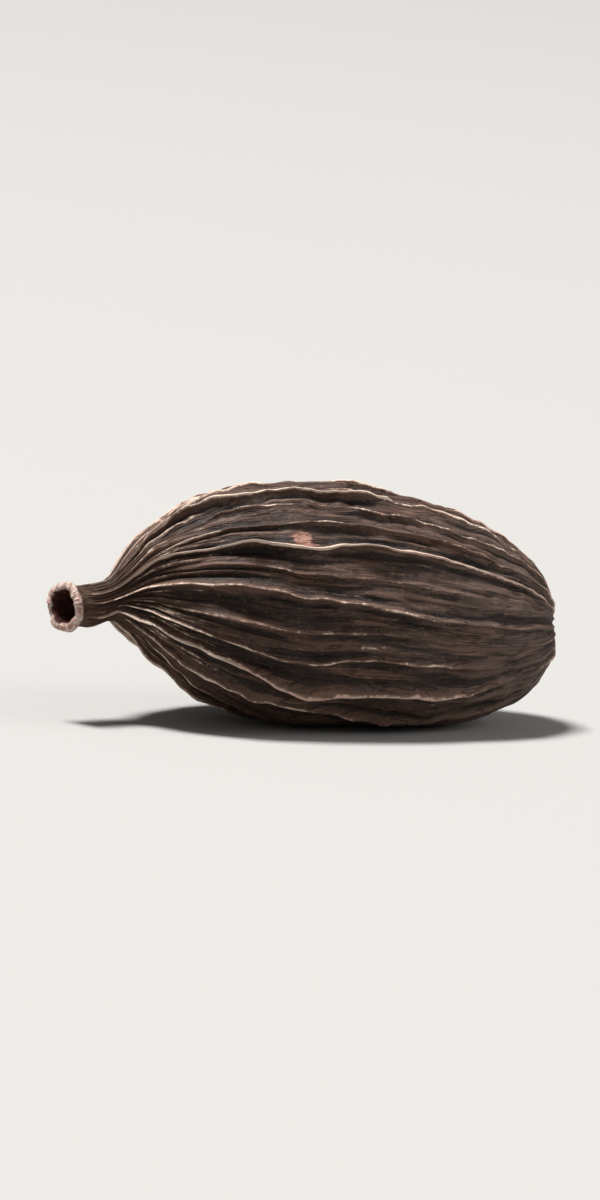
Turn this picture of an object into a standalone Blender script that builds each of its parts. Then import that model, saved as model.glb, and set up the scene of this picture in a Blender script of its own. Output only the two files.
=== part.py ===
"""Black cardamom pod, dried whole: one husk with a cut calyx tube at its tip and the stalk's scar at its base.

The pod lies on its side. The origin is the middle of the flat spot that it rests on, +Z is up, the tip with its
rim points along -X and the blunt base along +X. Everything is in metres.

The husk is lofted from rows that run round the pod. Each row is a circle set on the pod's axis, and the pleats and
the bulges over the seeds are raised from it along the surface's own normal.
"""

import math
import random

import bmesh
import bpy
import numpy as np

MM = 0.001

# Driving dimensions
LENGTH = 25.0 * MM
BODY_RADIUS = 5.66 * MM
WIDEST_AT = 13.5 * MM
NECK_RADIUS = 0.95 * MM
NECK_LENGTH = 2.9 * MM
RIM_RADIUS = 1.18 * MM
CUP_DEPTH = 1.3 * MM
SCAR_RADIUS = 1.05 * MM
SCAR_DEPTH = 0.60 * MM
AXIS_HEIGHT = 5.42 * MM
REST_AT = 15.85 * MM

# How the pod departs from a straight, round one
NECK_BEND = math.radians(26)
BEND_LENGTH = 5.0 * MM
NECK_LIFT = 0.10 * MM
SHOULDER_LIFT = 0.75 * MM
BASE_DROOP = 0.70 * MM
LOBE_SHARE = 0.030
LOBES = 3

# Outline of the body, from its widest row to each end
APEX_FULLNESS, APEX_ROUNDNESS = 2.3, 1.0
BASE_FULLNESS, BASE_ROUNDNESS = 2.05, 0.42
NECK_BLEND = 4

# Pleats of the husk: angle of the crest round the middle of the pod, in degrees, and its height
PLEAT_CRESTS = (
    (3, 0.45 * MM),
    (18, 0.26 * MM),
    (33, 0.58 * MM),
    (49, 0.29 * MM),
    (64, 0.48 * MM),
    (78, 0.28 * MM),
    (91, 0.42 * MM),
    (104, 0.58 * MM),
    (118, 0.29 * MM),
    (130, 0.28 * MM),
    (142, 0.74 * MM),
    (155, 0.29 * MM),
    (169, 0.62 * MM),
    (183, 0.34 * MM),
    (195, 0.48 * MM),
    (207, 0.68 * MM),
    (225, 0.48 * MM),
    (243, 0.28 * MM),
    (260, 0.52 * MM),
    (276, 0.26 * MM),
    (292, 0.45 * MM),
    (309, 0.29 * MM),
    (326, 0.60 * MM),
    (344, 0.28 * MM),
)
SEED = 11
PLEAT_FOOT = 0.36 * MM
FOOT_SHARE = 0.30
PLEAT_WAVE = math.radians(2.4)
PLEAT_TWIST = math.radians(9)

# A pleat lower than this starts some way up the body, and rises over the given length
LOW_PLEAT = 0.32 * MM
PLEAT_STARTS = (2.5 * MM, 6.0 * MM)
PLEAT_RISE = 3.0 * MM

# Bulges over the seeds, and the hollows between them
BULGES = 34
BULGE_HEIGHTS = (-0.20 * MM, 0.30 * MM)
BULGE_SPREAD = (1.1 * MM, 2.1 * MM)

# The rim and the scar are torn unevenly: share of their radius, and length along the axis
RAGGED_RADIUS = 0.07
RAGGED_LENGTH = 0.09 * MM

# The underside is smooth round the flat spot, out to an ellipse with these two half-lengths
REST_CALM = (6.2 * MM, 2.6 * MM)

# Mesh
ROW_SPACING = 0.62 * MM
FULL_COLUMNS = 4 * len(PLEAT_CRESTS)

# Wall of the cup, the rim's lip and the neck below it: distance from the rim's face, and radius
TIP_PROFILE = (
    (CUP_DEPTH, 0.26 * RIM_RADIUS),
    (0.62 * CUP_DEPTH, 0.44 * RIM_RADIUS),
    (0.18 * CUP_DEPTH, 0.52 * RIM_RADIUS),
    (0.03 * MM, 0.62 * RIM_RADIUS),
    (0.00 * MM, 0.80 * RIM_RADIUS),
    (0.10 * MM, 0.96 * RIM_RADIUS),
    (0.28 * MM, RIM_RADIUS),
    (0.52 * MM, 0.90 * RIM_RADIUS),
    (0.85 * MM, NECK_RADIUS),
)

# The scar's low rim and its pit: distance inwards from the base end, and radius
BASE_PROFILE = (
    (0.12 * MM, SCAR_RADIUS),
    (0.00 * MM, 0.88 * SCAR_RADIUS),
    (0.06 * MM, 0.72 * SCAR_RADIUS),
    (0.60 * SCAR_DEPTH, 0.58 * SCAR_RADIUS),
    (SCAR_DEPTH, 0.30 * SCAR_RADIUS),
)


def smooth(value):
    """0 below 0, 1 above 1, and an even turn between."""
    clipped = np.clip(value, 0, 1)
    return clipped * clipped * (3 - 2 * clipped)


def outline_radius(along):
    """Radius of the neck and body, by distance from the rim's face."""
    towards_tip = np.clip((WIDEST_AT - along) / (WIDEST_AT - 0.75 * NECK_LENGTH), 0, 1)
    towards_base = np.clip((along - WIDEST_AT) / (LENGTH - WIDEST_AT), 0, 1)
    apex = (1 - towards_tip**APEX_FULLNESS) ** APEX_ROUNDNESS
    base = (1 - towards_base**BASE_FULLNESS) ** BASE_ROUNDNESS
    body = BODY_RADIUS * apex * base
    neck = NECK_RADIUS * (1 - smooth(along / WIDEST_AT))
    return (body**NECK_BLEND + neck**NECK_BLEND) ** (1 / NECK_BLEND)


def profile():
    """Rows from the cup's floor to the scar's floor: (distance along the axis, radius), as two arrays."""
    body_start = TIP_PROFILE[-1][0]
    samples = np.linspace(body_start, LENGTH, 4000)
    radii = outline_radius(samples)
    samples = samples[(radii > 1.06 * SCAR_RADIUS) | (samples < WIDEST_AT)]
    radii = outline_radius(samples)
    run = np.concatenate([[0], np.cumsum(np.hypot(np.diff(samples), np.diff(radii)))])
    count = round(run[-1] / ROW_SPACING)
    stops = np.interp(np.linspace(0, run[-1], count + 1)[1:], run, samples)
    tip = np.array(TIP_PROFILE)
    base = np.array([(LENGTH - inward, radius) for inward, radius in BASE_PROFILE])
    along = np.concatenate([tip[:, 0], stops, base[:, 0]])
    radius = np.concatenate([tip[:, 1], outline_radius(stops), base[:, 1]])
    return along, radius


def axis_frame(along):
    """Centre of each row and its sideways direction.

    The neck bends towards -Y, the shoulder above it rises, and the base droops.
    """
    bend = NECK_BEND * np.clip(1 - along / BEND_LENGTH, 0, 1)
    arc_radius = BEND_LENGTH / NECK_BEND
    x = np.where(along < BEND_LENGTH, BEND_LENGTH - arc_radius * np.sin(bend), along)
    y = -arc_radius * (1 - np.cos(bend))
    share = along / LENGTH
    lift = NECK_LIFT * smooth(1 - share / 0.20)
    lift = lift + SHOULDER_LIFT * smooth((share - 0.05) / 0.14) * smooth((0.46 - share) / 0.26)
    droop = BASE_DROOP * smooth((share - 0.50) / 0.38)
    z = AXIS_HEIGHT + lift - droop
    centre = np.stack([x - REST_AT, y, z], axis=-1)
    sideways = np.stack([-np.sin(bend), np.cos(bend), np.zeros_like(bend)], axis=-1)
    return centre, sideways


class Pleat:
    """One pleat of the husk: where it runs round the pod, and how high its crest stands."""

    def __init__(self, degrees, height, draw):
        self.angle = math.radians(degrees)
        self.height = height
        self.fade_at = draw.uniform(0.50, 0.90) * LENGTH
        self.cycles = draw.uniform(0.8, 1.8)
        self.phase = draw.uniform(0, 2 * math.pi)
        self.notches = draw.uniform(2.5, 5.0)
        self.notch_phase = draw.uniform(0, 2 * math.pi)
        starts_at = draw.uniform(*PLEAT_STARTS)
        self.starts_at = starts_at if height < LOW_PLEAT else -PLEAT_RISE

    def crest_angle(self, along):
        """Angle of the crest round the pod, 0 at +Y and a quarter turn at the top."""
        share = along / LENGTH
        wave = PLEAT_WAVE * np.sin(2 * math.pi * self.cycles * share + self.phase)
        return self.angle + wave * smooth(3 * share) + PLEAT_TWIST * (share - 0.5)

    def crest_height(self, along, radius):
        """Height of the crest above the husk. It sinks into the slim neck, and fades towards the base."""
        risen = smooth((along - self.starts_at) / PLEAT_RISE)
        kept = 1 - 0.62 * smooth((along - self.fade_at) / (0.25 * LENGTH))
        notch = 1 - 0.32 * (0.5 + 0.5 * np.sin(2 * math.pi * self.notches * along / LENGTH + self.notch_phase))
        return self.height * risen * kept * notch * smooth(radius / (0.50 * BODY_RADIUS))


def bulge_relief(points, draw):
    """Height of the bulges and hollows over the surface."""
    relief = np.zeros(points.shape[:-1])
    for _ in range(BULGES):
        along = draw.uniform(0.22, 0.97) * LENGTH
        angle = draw.uniform(0, 2 * math.pi)
        centre, sideways = axis_frame(np.array(along))
        reach = outline_radius(np.array(along))
        middle = centre + reach * (math.cos(angle) * sideways + math.sin(angle) * np.array([0, 0, 1]))
        height = draw.uniform(*BULGE_HEIGHTS)
        spread = draw.uniform(*BULGE_SPREAD)
        distance = np.linalg.norm(points - middle, axis=-1)
        relief += height * np.exp(-0.5 * (distance / spread) ** 2)
    return relief


def column_angles(along, radius, pleats):
    """Four angles for each pleat and row: the valley before it, the crest's two feet, and the crest between them."""
    crests = np.stack([pleat.crest_angle(along) for pleat in pleats], axis=-1)
    before = np.roll(crests, 1, axis=-1)
    before[:, 0] -= 2 * math.pi
    after = np.roll(crests, -1, axis=-1)
    after[:, -1] += 2 * math.pi
    widest_foot = PLEAT_FOOT / np.maximum(radius, 0.1 * MM)[:, None]
    foot_before = np.minimum(widest_foot, 0.30 * (crests - before))
    foot_after = np.minimum(widest_foot, 0.30 * (after - crests))
    angles = [(before + crests) / 2, crests - foot_before, crests, crests + foot_after]
    return np.stack(angles, axis=-1).reshape(len(along), FULL_COLUMNS)


def surface(along, radius, angles):
    """Points of the plain husk, with its blunt three-sided section and no relief."""
    centre, sideways = axis_frame(along)
    lobed = smooth((along - NECK_LENGTH) / (0.3 * LENGTH))[:, None]
    section = 1 + LOBE_SHARE * lobed * np.cos(LOBES * (angles - math.pi / 2))
    reach = radius[:, None] * section
    outwards = np.cos(angles)[..., None] * sideways[:, None, :]
    outwards[..., 2] += np.sin(angles)
    return centre[:, None, :] + reach[..., None] * outwards


def surface_normals(points):
    """Unit normals of a surface whose rows close on themselves, pointing out of the pod."""
    round_it = np.roll(points, -1, axis=1) - np.roll(points, 1, axis=1)
    along_it = np.gradient(points, axis=0)
    normals = np.cross(round_it, along_it)
    return normals / np.linalg.norm(normals, axis=-1, keepdims=True)


def pleat_relief(along, radius, pleats):
    """Height of the pleats at each row's columns."""
    crest = np.stack([pleat.crest_height(along, radius) for pleat in pleats], axis=-1)
    foot = FOOT_SHARE * crest
    return np.stack([np.zeros_like(crest), foot, crest, foot], axis=-1).reshape(len(along), FULL_COLUMNS)


def ragged(angles, draw):
    """Uneven edge of something torn, between -1 and 1 round the pod."""
    waves = [(cycles, draw.uniform(0, 2 * math.pi)) for cycles in (2, 3, 5, 8)]
    return sum(np.sin(cycles * angles + phase) / cycles**0.5 for cycles, phase in waves) / 2.13


def tear_ends(rows, along, radius, angles, draw):
    """Makes the rim and the scar uneven, with the torn edge carried a little way down their sides."""
    middle, sideways = axis_frame(along)
    axis = np.stack([sideways[:, 1], -sideways[:, 0], sideways[:, 2]], axis=-1)
    narrow = radius < 1.3 * RIM_RADIUS
    for edge, wall in ((0, 0.9 * MM), (LENGTH, 0.5 * MM)):
        share = np.where(narrow, smooth(1 - np.abs(along - edge) / wall), 0)[:, None]
        widening = 1 + RAGGED_RADIUS * share * ragged(angles, draw)
        shift = RAGGED_LENGTH * share * ragged(angles, draw)
        rows = middle[:, None] + (rows - middle[:, None]) * widening[..., None] + shift[..., None] * axis[:, None]
    return rows


def husk_rows():
    """Rows of points over the whole husk, from the cup's floor to the scar's floor."""
    draw = random.Random(SEED)
    pleats = [Pleat(degrees, height, draw) for degrees, height in PLEAT_CRESTS]
    along, radius = profile()
    angles = column_angles(along, radius, pleats)
    plain = surface(along, radius, angles)
    outside = np.ones(len(along))
    outside[: len(TIP_PROFILE) - 2] = 0
    outside[-len(BASE_PROFILE) :] = 0
    calm = np.hypot(plain[..., 0] / REST_CALM[0], plain[..., 1] / REST_CALM[1])
    calm = np.where(plain[..., 2] < AXIS_HEIGHT, smooth((calm - 0.8) / 0.6), 1)
    relief = pleat_relief(along, radius, pleats) * calm + bulge_relief(plain, draw) * calm
    rows = plain + (relief * outside[:, None])[..., None] * surface_normals(plain)
    return tear_ends(rows, along, radius, angles, draw)


def loft(mesh, rows):
    """Joins the rows into one skin. The narrow rows in the cup and the pit carry fewer points."""
    edges_before = None
    closed_ends = []
    last = len(rows) - 1
    for index, row in enumerate(rows):
        keep = 1
        if index in (0, last):
            keep = 4
        elif index in (1, 2, last - 1):
            keep = 2
        points = row[2 % keep :: keep]
        ring = bmesh.ops.create_circle(mesh, segments=len(points), radius=1)["verts"]
        for vertex, point in zip(ring, points):
            vertex.co = point
        edges = list({edge for vertex in ring for edge in vertex.link_edges})
        if edges_before is not None:
            bmesh.ops.bridge_loops(mesh, edges=edges_before + edges)
        if index in (0, last):
            closed_ends.append(edges)
        edges_before = edges
    for edges in closed_ends:
        bmesh.ops.edgeloop_fill(mesh, edges=edges)


def flatten_rest_spot(mesh):
    """Cuts the underside level where the pod rests, and closes the cut."""
    everything = mesh.verts[:] + mesh.edges[:] + mesh.faces[:]
    bmesh.ops.bisect_plane(
        mesh, geom=everything, dist=1e-7, plane_co=(0, 0, 0), plane_no=(0, 0, -1), clear_outer=True
    )
    open_edges = [edge for edge in mesh.edges if edge.is_boundary]
    bmesh.ops.holes_fill(mesh, edges=open_edges, sides=0)


def husk_material():
    """Dried, smoke-dark husk."""
    material = bpy.data.materials.new("dried_husk")
    material.use_nodes = True
    shader = material.node_tree.nodes["Principled BSDF"]
    shader.inputs["Base Color"].default_value = (0.078, 0.049, 0.036, 1)
    shader.inputs["Roughness"].default_value = 0.78
    shader.inputs["Metallic"].default_value = 0
    return material


def build_pod():
    """Makes the pod as one object."""
    mesh = bmesh.new()
    loft(mesh, husk_rows())
    bmesh.ops.recalc_face_normals(mesh, faces=mesh.faces)
    flatten_rest_spot(mesh)
    bmesh.ops.recalc_face_normals(mesh, faces=mesh.faces)
    data = bpy.data.meshes.new("pod")
    mesh.to_mesh(data)
    mesh.free()
    data.shade_smooth()
    data.set_sharp_from_angle(angle=math.radians(40))
    data.materials.append(husk_material())
    pod = bpy.data.objects.new("pod", data)
    bpy.context.scene.collection.objects.link(pod)
    return pod


def main():
    for thing in list(bpy.data.objects):
        bpy.data.objects.remove(thing)
    build_pod()


main()
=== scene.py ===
"""Looks of a whole dried black cardamom pod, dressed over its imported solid.

Everything is in metres, in the solid's own frame. The pod lies on its side with +Z up. The tip with its cut
rim points along -X, and the blunt base with the stalk's scar along +X.
"""

import logging
import math
import random
from dataclasses import dataclass, field
from enum import Enum

import bpy
import numpy as np
from mathutils import Euler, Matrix, Quaternion, Vector, noise


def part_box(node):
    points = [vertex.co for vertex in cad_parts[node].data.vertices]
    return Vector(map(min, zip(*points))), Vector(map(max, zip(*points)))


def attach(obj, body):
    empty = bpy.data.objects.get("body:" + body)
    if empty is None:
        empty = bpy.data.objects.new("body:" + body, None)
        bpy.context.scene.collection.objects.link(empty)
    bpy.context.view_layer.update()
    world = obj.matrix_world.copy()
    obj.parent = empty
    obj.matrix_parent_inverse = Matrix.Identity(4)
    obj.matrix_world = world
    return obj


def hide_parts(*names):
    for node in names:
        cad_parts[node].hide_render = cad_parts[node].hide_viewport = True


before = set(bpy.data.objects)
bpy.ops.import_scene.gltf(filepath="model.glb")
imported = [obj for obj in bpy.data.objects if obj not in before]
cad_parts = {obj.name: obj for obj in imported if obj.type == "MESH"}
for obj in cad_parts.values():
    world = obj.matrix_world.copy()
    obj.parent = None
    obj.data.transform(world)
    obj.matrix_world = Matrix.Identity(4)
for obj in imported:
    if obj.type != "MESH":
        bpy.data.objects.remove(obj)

LOG = logging.getLogger("cardamom_pod")
MM = 0.001
TURN = 2 * math.pi
NODE = "pod"
BODY = "root"
Array = np.ndarray
Sizes = tuple[float, float, float]
Nodes = bpy.types.NodeTree
Socket = bpy.types.NodeSocket
Sockets = dict[Enum, Socket]

# A stretched grain is turned by these angles first, so that its cells don't line up as bands round the pod
SLANT_TURNS = (0.62, 0.48, 0.81)
SLANT = np.array(Euler(SLANT_TURNS).to_matrix())
SEED_STEP = 17.3
LUMP_GAIN = 1.6


class Mark(Enum):
    """What the husk's vertices carry for its finish, by the name of the attribute."""

    PROUD = "proud"
    CREST = "crest"
    LIP = "lip"
    HOLE = "hole"
    NECK = "neck"
    PATCH = "patch"
    FIBRE = "fibre"


class Grain(Enum):
    """The grains that the husk's finish is made of."""

    MOTTLE = "mottle"
    BLUSH = "blush"
    STRANDS = "strands"
    FIBRES = "fibres"
    CREASES = "creases"
    BEADS = "beads"
    BREAKS = "breaks"
    PITS = "pits"
    GRIT = "grit"


def smooth(value: Array) -> Array:
    """Turns evenly from 0 below 0 to 1 above 1.

    Args:
        value: Any numbers.

    Returns:
        Numbers between 0 and 1.
    """
    clipped = np.clip(value, 0, 1)
    return clipped * clipped * (3 - 2 * clipped)


def within(value: Array, edge: tuple[float, float]) -> Array:
    """Turns evenly from 1 well below an edge to 0 at it.

    Args:
        value: Any numbers.
        edge: The edge, and the width of the turn below it.

    Returns:
        Numbers between 0 and 1.
    """
    return smooth((edge[0] - value) / edge[1])


@dataclass(frozen=True)
class Drift:
    """A slow random change over the husk, which closes on itself round the pod.

    Attributes:
        lengthwise: Number of random values along the pod.
        round_it: Number of random values round it.
        seed: Seed of the draw.
    """

    lengthwise: int
    round_it: int
    seed: int

    def at(self, share: Array, angles: Array) -> Array:
        """Values of the drift.

        Args:
            share: Share of the pod's length, for each point.
            angles: Angle round the pod, for each point.

        Returns:
            Values between -1 and 1, one for each point.
        """
        drawn = np.random.default_rng(self.seed).uniform(-1, 1, (self.lengthwise + 2, self.round_it))
        row = np.clip(share, 0, 1) * self.lengthwise
        column = np.mod(angles / TURN, 1) * self.round_it
        row_low = np.floor(row).astype(int)
        column_low = np.floor(column).astype(int)
        row_share = smooth(row - row_low)
        column_share = smooth(column - column_low)
        column_low = np.mod(column_low, self.round_it)
        column_high = np.mod(column_low + 1, self.round_it)
        row_high = row_low + 1
        rest = 1 - column_share
        low = drawn[row_low, column_low] * rest + drawn[row_low, column_high] * column_share
        high = drawn[row_high, column_low] * rest + drawn[row_high, column_high] * column_share
        return low * (1 - row_share) + high * row_share


def crumpled(points: Array, sizes: Sizes, seed: int) -> Array:
    """Random lumps of a real size, the same whichever way a point is reached.

    Args:
        points: Points in space.
        sizes: Size of a lump along each axis, in metres.
        seed: Moves the pattern.

    Returns:
        Values of about -1 to 1, one for each point.
    """
    places = ((points / np.array(sizes)) @ SLANT + SEED_STEP * seed).reshape(-1, 3)
    lumps = np.fromiter((noise.noise(place) for place in places.tolist()), float, len(places))
    return LUMP_GAIN * lumps.reshape(points.shape[:-1])


@dataclass
class Pleat:
    """One pleat of the husk: where it runs round the pod, and how high its crest stands.

    Attributes:
        angle: Angle of its crest round the middle of the pod.
        height: Height of its crest.
        fade_at: Distance from the rim at which it starts to sink.
        cycles: Number of waves along the pod.
        phase: Phase of those waves.
        notches: Number of low stretches along its crest.
        notch_phase: Phase of the low stretches.
        starts_at: Distance from the rim at which it starts to rise.
    """

    angle: float
    height: float
    fade_at: float
    cycles: float
    phase: float
    notches: float
    notch_phase: float
    starts_at: float


@dataclass
class PodForm:
    """Form of the pod, as its solid has it. Distances along it are counted from the rim's face."""

    length: float = 25.0 * MM
    body_radius: float = 5.66 * MM
    widest_at: float = 13.5 * MM
    neck_radius: float = 0.95 * MM
    neck_length: float = 2.9 * MM
    rim_radius: float = 1.18 * MM
    cup_depth: float = 1.3 * MM
    scar_radius: float = 1.05 * MM
    scar_depth: float = 0.60 * MM
    axis_height: float = 5.42 * MM
    rest_at: float = 15.85 * MM
    neck_bend: float = math.radians(26)
    bend_length: float = 5.0 * MM
    neck_lift: float = 0.10 * MM
    shoulder_lift: float = 0.75 * MM
    base_droop: float = 0.70 * MM
    lobe_share: float = 0.030
    lobes: int = 3
    apex_shape: tuple[float, float] = (2.3, 1.0)
    base_shape: tuple[float, float] = (2.05, 0.42)
    neck_blend: int = 4
    seed: int = 11
    pleat_wave: float = math.radians(2.4)
    pleat_twist: float = math.radians(9)
    pleat_foot: float = 0.36 * MM
    low_pleat: float = 0.32 * MM
    pleat_starts: tuple[float, float] = (2.5 * MM, 6.0 * MM)
    pleat_rise: float = 3.0 * MM
    pleat_fade: float = 0.62
    notch_depth: float = 0.32
    bulge_count: int = 34
    bulge_heights: tuple[float, float] = (-0.20 * MM, 0.30 * MM)
    bulge_spread: tuple[float, float] = (1.1 * MM, 2.1 * MM)
    ragged_radius: float = 0.07
    ragged_length: float = 0.09 * MM
    rest_calm: tuple[float, float] = (6.2 * MM, 2.6 * MM)
    pleat_crests: tuple[tuple[int, float], ...] = (
        (3, 0.45 * MM), (18, 0.26 * MM), (33, 0.58 * MM), (49, 0.29 * MM),
        (64, 0.48 * MM), (78, 0.28 * MM), (91, 0.42 * MM), (104, 0.58 * MM),
        (118, 0.29 * MM), (130, 0.28 * MM), (142, 0.74 * MM), (155, 0.29 * MM),
        (169, 0.62 * MM), (183, 0.34 * MM), (195, 0.48 * MM), (207, 0.68 * MM),
        (225, 0.48 * MM), (243, 0.28 * MM), (260, 0.52 * MM), (276, 0.26 * MM),
        (292, 0.45 * MM), (309, 0.29 * MM), (326, 0.60 * MM), (344, 0.28 * MM),
    )
    draw: random.Random = field(init=False, repr=False)
    pleats: list[Pleat] = field(init=False, repr=False)

    def __post_init__(self) -> None:
        """Draws the pleats, in the order in which the solid draws them."""
        self.draw = random.Random(self.seed)
        self.pleats = [self.grow_pleat(degrees, height) for degrees, height in self.pleat_crests]

    def grow_pleat(self, degrees: float, height: float) -> Pleat:
        """Draws one pleat.

        Args:
            degrees: Angle of its crest round the middle of the pod, in degrees.
            height: Height of its crest.

        Returns:
            The pleat.
        """
        return Pleat(
            angle=math.radians(degrees),
            height=height,
            fade_at=self.draw.uniform(0.50, 0.90) * self.length,
            cycles=self.draw.uniform(0.8, 1.8),
            phase=self.draw.uniform(0, TURN),
            notches=self.draw.uniform(2.5, 5.0),
            notch_phase=self.draw.uniform(0, TURN),
            starts_at=self.start_of(height, self.draw.uniform(*self.pleat_starts)),
        )

    def start_of(self, height: float, drawn: float) -> float:
        """Where a pleat starts: low ones at the drawn distance from the rim, and high ones at the neck."""
        return drawn if height < self.low_pleat else -self.pleat_rise

    def outline_radius(self, along: Array) -> Array:
        """Radius of the neck and body.

        Args:
            along: Distances from the rim's face.

        Returns:
            The radius at each distance.
        """
        towards_tip = np.clip((self.widest_at - along) / (self.widest_at - 0.75 * self.neck_length), 0, 1)
        towards_base = np.clip((along - self.widest_at) / (self.length - self.widest_at), 0, 1)
        apex = (1 - towards_tip ** self.apex_shape[0]) ** self.apex_shape[1]
        base = (1 - towards_base ** self.base_shape[0]) ** self.base_shape[1]
        body = self.body_radius * apex * base
        neck = self.neck_radius * (1 - smooth(along / self.widest_at))
        return (body**self.neck_blend + neck**self.neck_blend) ** (1 / self.neck_blend)

    def tip_profile(self) -> Array:
        """Wall of the cup, the rim's lip and the neck below it.

        Returns:
            Pairs of distance from the rim's face and radius.
        """
        return np.array(
            [
                (self.cup_depth, 0.30 * self.rim_radius),
                (0.62 * self.cup_depth, 0.50 * self.rim_radius),
                (0.22 * self.cup_depth, 0.60 * self.rim_radius),
                (0.05 * MM, 0.69 * self.rim_radius),
                (0.00 * MM, 0.82 * self.rim_radius),
                (0.10 * MM, 0.96 * self.rim_radius),
                (0.28 * MM, self.rim_radius),
                (0.52 * MM, 0.90 * self.rim_radius),
                (0.85 * MM, self.neck_radius),
            ]
        )

    def base_profile(self) -> Array:
        """The scar's low rim and its pit.

        Returns:
            Pairs of distance from the rim's face and radius.
        """
        return np.array(
            [
                (self.length - 0.12 * MM, self.scar_radius),
                (self.length, 0.88 * self.scar_radius),
                (self.length - 0.06 * MM, 0.72 * self.scar_radius),
                (self.length - 0.60 * self.scar_depth, 0.58 * self.scar_radius),
                (self.length - self.scar_depth, 0.30 * self.scar_radius),
            ]
        )

    def axis_frame(self, along: Array) -> tuple[Array, Array]:
        """The pod's bent axis. The neck bends towards -Y, the shoulder above it rises, and the base droops.

        Args:
            along: Distances from the rim's face.

        Returns:
            The axis's points and its sideways directions.
        """
        bend = self.neck_bend * np.clip(1 - along / self.bend_length, 0, 1)
        arc_radius = self.bend_length / self.neck_bend
        x = np.where(along < self.bend_length, self.bend_length - arc_radius * np.sin(bend), along)
        y = -arc_radius * (1 - np.cos(bend))
        share = along / self.length
        lift = self.neck_lift * smooth(1 - share / 0.20)
        lift = lift + self.shoulder_lift * smooth((share - 0.05) / 0.14) * smooth((0.46 - share) / 0.26)
        droop = self.base_droop * smooth((share - 0.50) / 0.38)
        z = self.axis_height + lift - droop
        centre = np.stack([x - self.rest_at, y, z], axis=-1)
        sideways = np.stack([-np.sin(bend), np.cos(bend), np.zeros_like(bend)], axis=-1)
        return centre, sideways

    def surface(self, along: Array, radius: Array, angles: Array) -> Array:
        """The plain husk, with its blunt three-sided section and no relief.

        Args:
            along: Distance of each row from the rim's face.
            radius: Radius of each row.
            angles: Angles round the pod, one row of them for each distance.

        Returns:
            Points, by row and column.
        """
        centre, sideways = self.axis_frame(along)
        lobed = smooth((along - self.neck_length) / (0.3 * self.length))[:, None]
        section = 1 + self.lobe_share * lobed * np.cos(self.lobes * (angles - math.pi / 2))
        reach = radius[:, None] * section
        outwards = np.cos(angles)[..., None] * sideways[:, None, :]
        outwards[..., 2] += np.sin(angles)
        return centre[:, None, :] + reach[..., None] * outwards

    def crest_angle(self, pleat: Pleat, along: Array) -> Array:
        """Angle of a pleat's crest round the pod, 0 at +Y and a quarter turn at the top.

        Args:
            pleat: The pleat.
            along: Distances from the rim's face.

        Returns:
            The angle at each distance.
        """
        share = along / self.length
        wave = self.pleat_wave * np.sin(TURN * pleat.cycles * share + pleat.phase)
        return pleat.angle + wave * smooth(3 * share) + self.pleat_twist * (share - 0.5)

    def crest_height(self, pleat: Pleat, along: Array, radius: Array) -> Array:
        """Height of a pleat's crest. It sinks into the slim neck, and fades towards the base.

        Args:
            pleat: The pleat.
            along: Distances from the rim's face.
            radius: Radius of the pod at each distance.

        Returns:
            The height at each distance.
        """
        risen = smooth((along - pleat.starts_at) / self.pleat_rise)
        kept = 1 - self.pleat_fade * smooth((along - pleat.fade_at) / (0.25 * self.length))
        wave = np.sin(TURN * pleat.notches * along / self.length + pleat.notch_phase)
        notch = 1 - self.notch_depth * (0.5 + 0.5 * wave)
        return pleat.height * risen * kept * notch * smooth(radius / (0.50 * self.body_radius))

    def bulge_relief(self, points: Array) -> Array:
        """Height of the bulges over the seeds, and of the hollows between them.

        Args:
            points: Points of the plain husk.

        Returns:
            The height at each point.
        """
        relief = np.zeros(points.shape[:-1])
        for _ in range(self.bulge_count):
            along = self.draw.uniform(0.22, 0.97) * self.length
            angle = self.draw.uniform(0, TURN)
            centre, sideways = self.axis_frame(np.array(along))
            reach = self.outline_radius(np.array(along))
            middle = centre + reach * (math.cos(angle) * sideways + math.sin(angle) * np.array([0, 0, 1]))
            height = self.draw.uniform(*self.bulge_heights)
            spread = self.draw.uniform(*self.bulge_spread)
            distance = np.linalg.norm(points - middle, axis=-1)
            relief += height * np.exp(-0.5 * (distance / spread) ** 2)
        return relief

    def ragged(self, angles: Array) -> Array:
        """Uneven edge of something torn, between -1 and 1 round the pod."""
        waves = [(cycles, self.draw.uniform(0, TURN)) for cycles in (2, 3, 5, 8)]
        return sum(np.sin(cycles * angles + phase) / cycles**0.5 for cycles, phase in waves) / 2.13

    def calm(self, points: Array) -> Array:
        """Share of the relief that is kept: none on the flat spot, and all of it away from there."""
        reach = np.hypot(points[..., 0] / self.rest_calm[0], points[..., 1] / self.rest_calm[1])
        return np.where(points[..., 2] < self.axis_height, smooth((reach - 0.8) / 0.6), 1)


def catmull_rom(points: Array, steps: int) -> Array:
    """Draws a smooth curve through some points.

    Args:
        points: The points, in order.
        steps: Number of stretches between two neighbours.

    Returns:
        Points of the curve.
    """
    padded = np.concatenate([2 * points[:1] - points[1:2], points, 2 * points[-1:] - points[-2:-1]])
    share = (np.arange(steps) / steps)[:, None]
    curve = []
    for before, start, end, after in zip(padded[:-3], padded[1:-2], padded[2:-1], padded[3:]):
        bend = 2 * before - 5 * start + 4 * end - after
        turn = 3 * start - before - 3 * end + after
        curve.append(0.5 * (2 * start + (end - before) * share + bend * share**2 + turn * share**3))
    curve.append(points[-1:])
    return np.concatenate(curve)


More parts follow.
